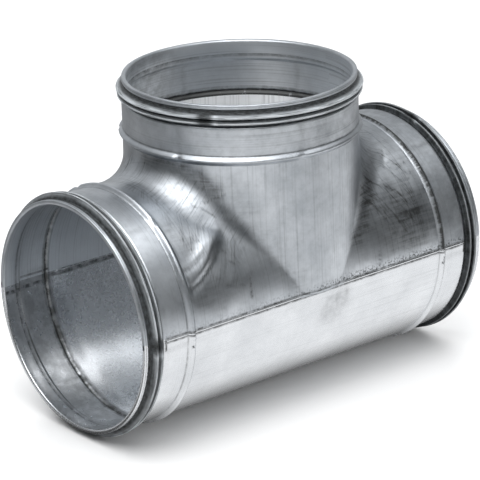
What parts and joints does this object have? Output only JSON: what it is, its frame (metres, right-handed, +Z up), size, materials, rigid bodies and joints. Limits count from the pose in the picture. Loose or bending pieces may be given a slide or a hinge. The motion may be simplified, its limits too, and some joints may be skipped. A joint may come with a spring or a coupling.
{
  "type": "duct tee",
  "caption": "Equal duct tee pressed from galvanised sheet, with a straight run, a branch at right angles, and spigot ends with stop beads and rubber lip seals.",
  "frame": {"origin": "where the axis of the run crosses the axis of the branch", "axes": "+X along the run from the left mouth to the right one, +Z up the branch towards its mouth, +Y to the back"},
  "size_m": [0.296, 0.166, 0.22],
  "materials": {
    "galvanised_sheet": "bright galvanised sheet, satin, with press and brush marks",
    "seal_rubber": "smooth black rubber with a soft sheen"
  },
  "bodies": {
    "root": {"upper_shell": "galvanised_sheet", "lower_shell": "galvanised_sheet", "left_seal": "seal_rubber", "right_seal": "seal_rubber", "branch_seal": "seal_rubber"}
  },
  "joints": []
}
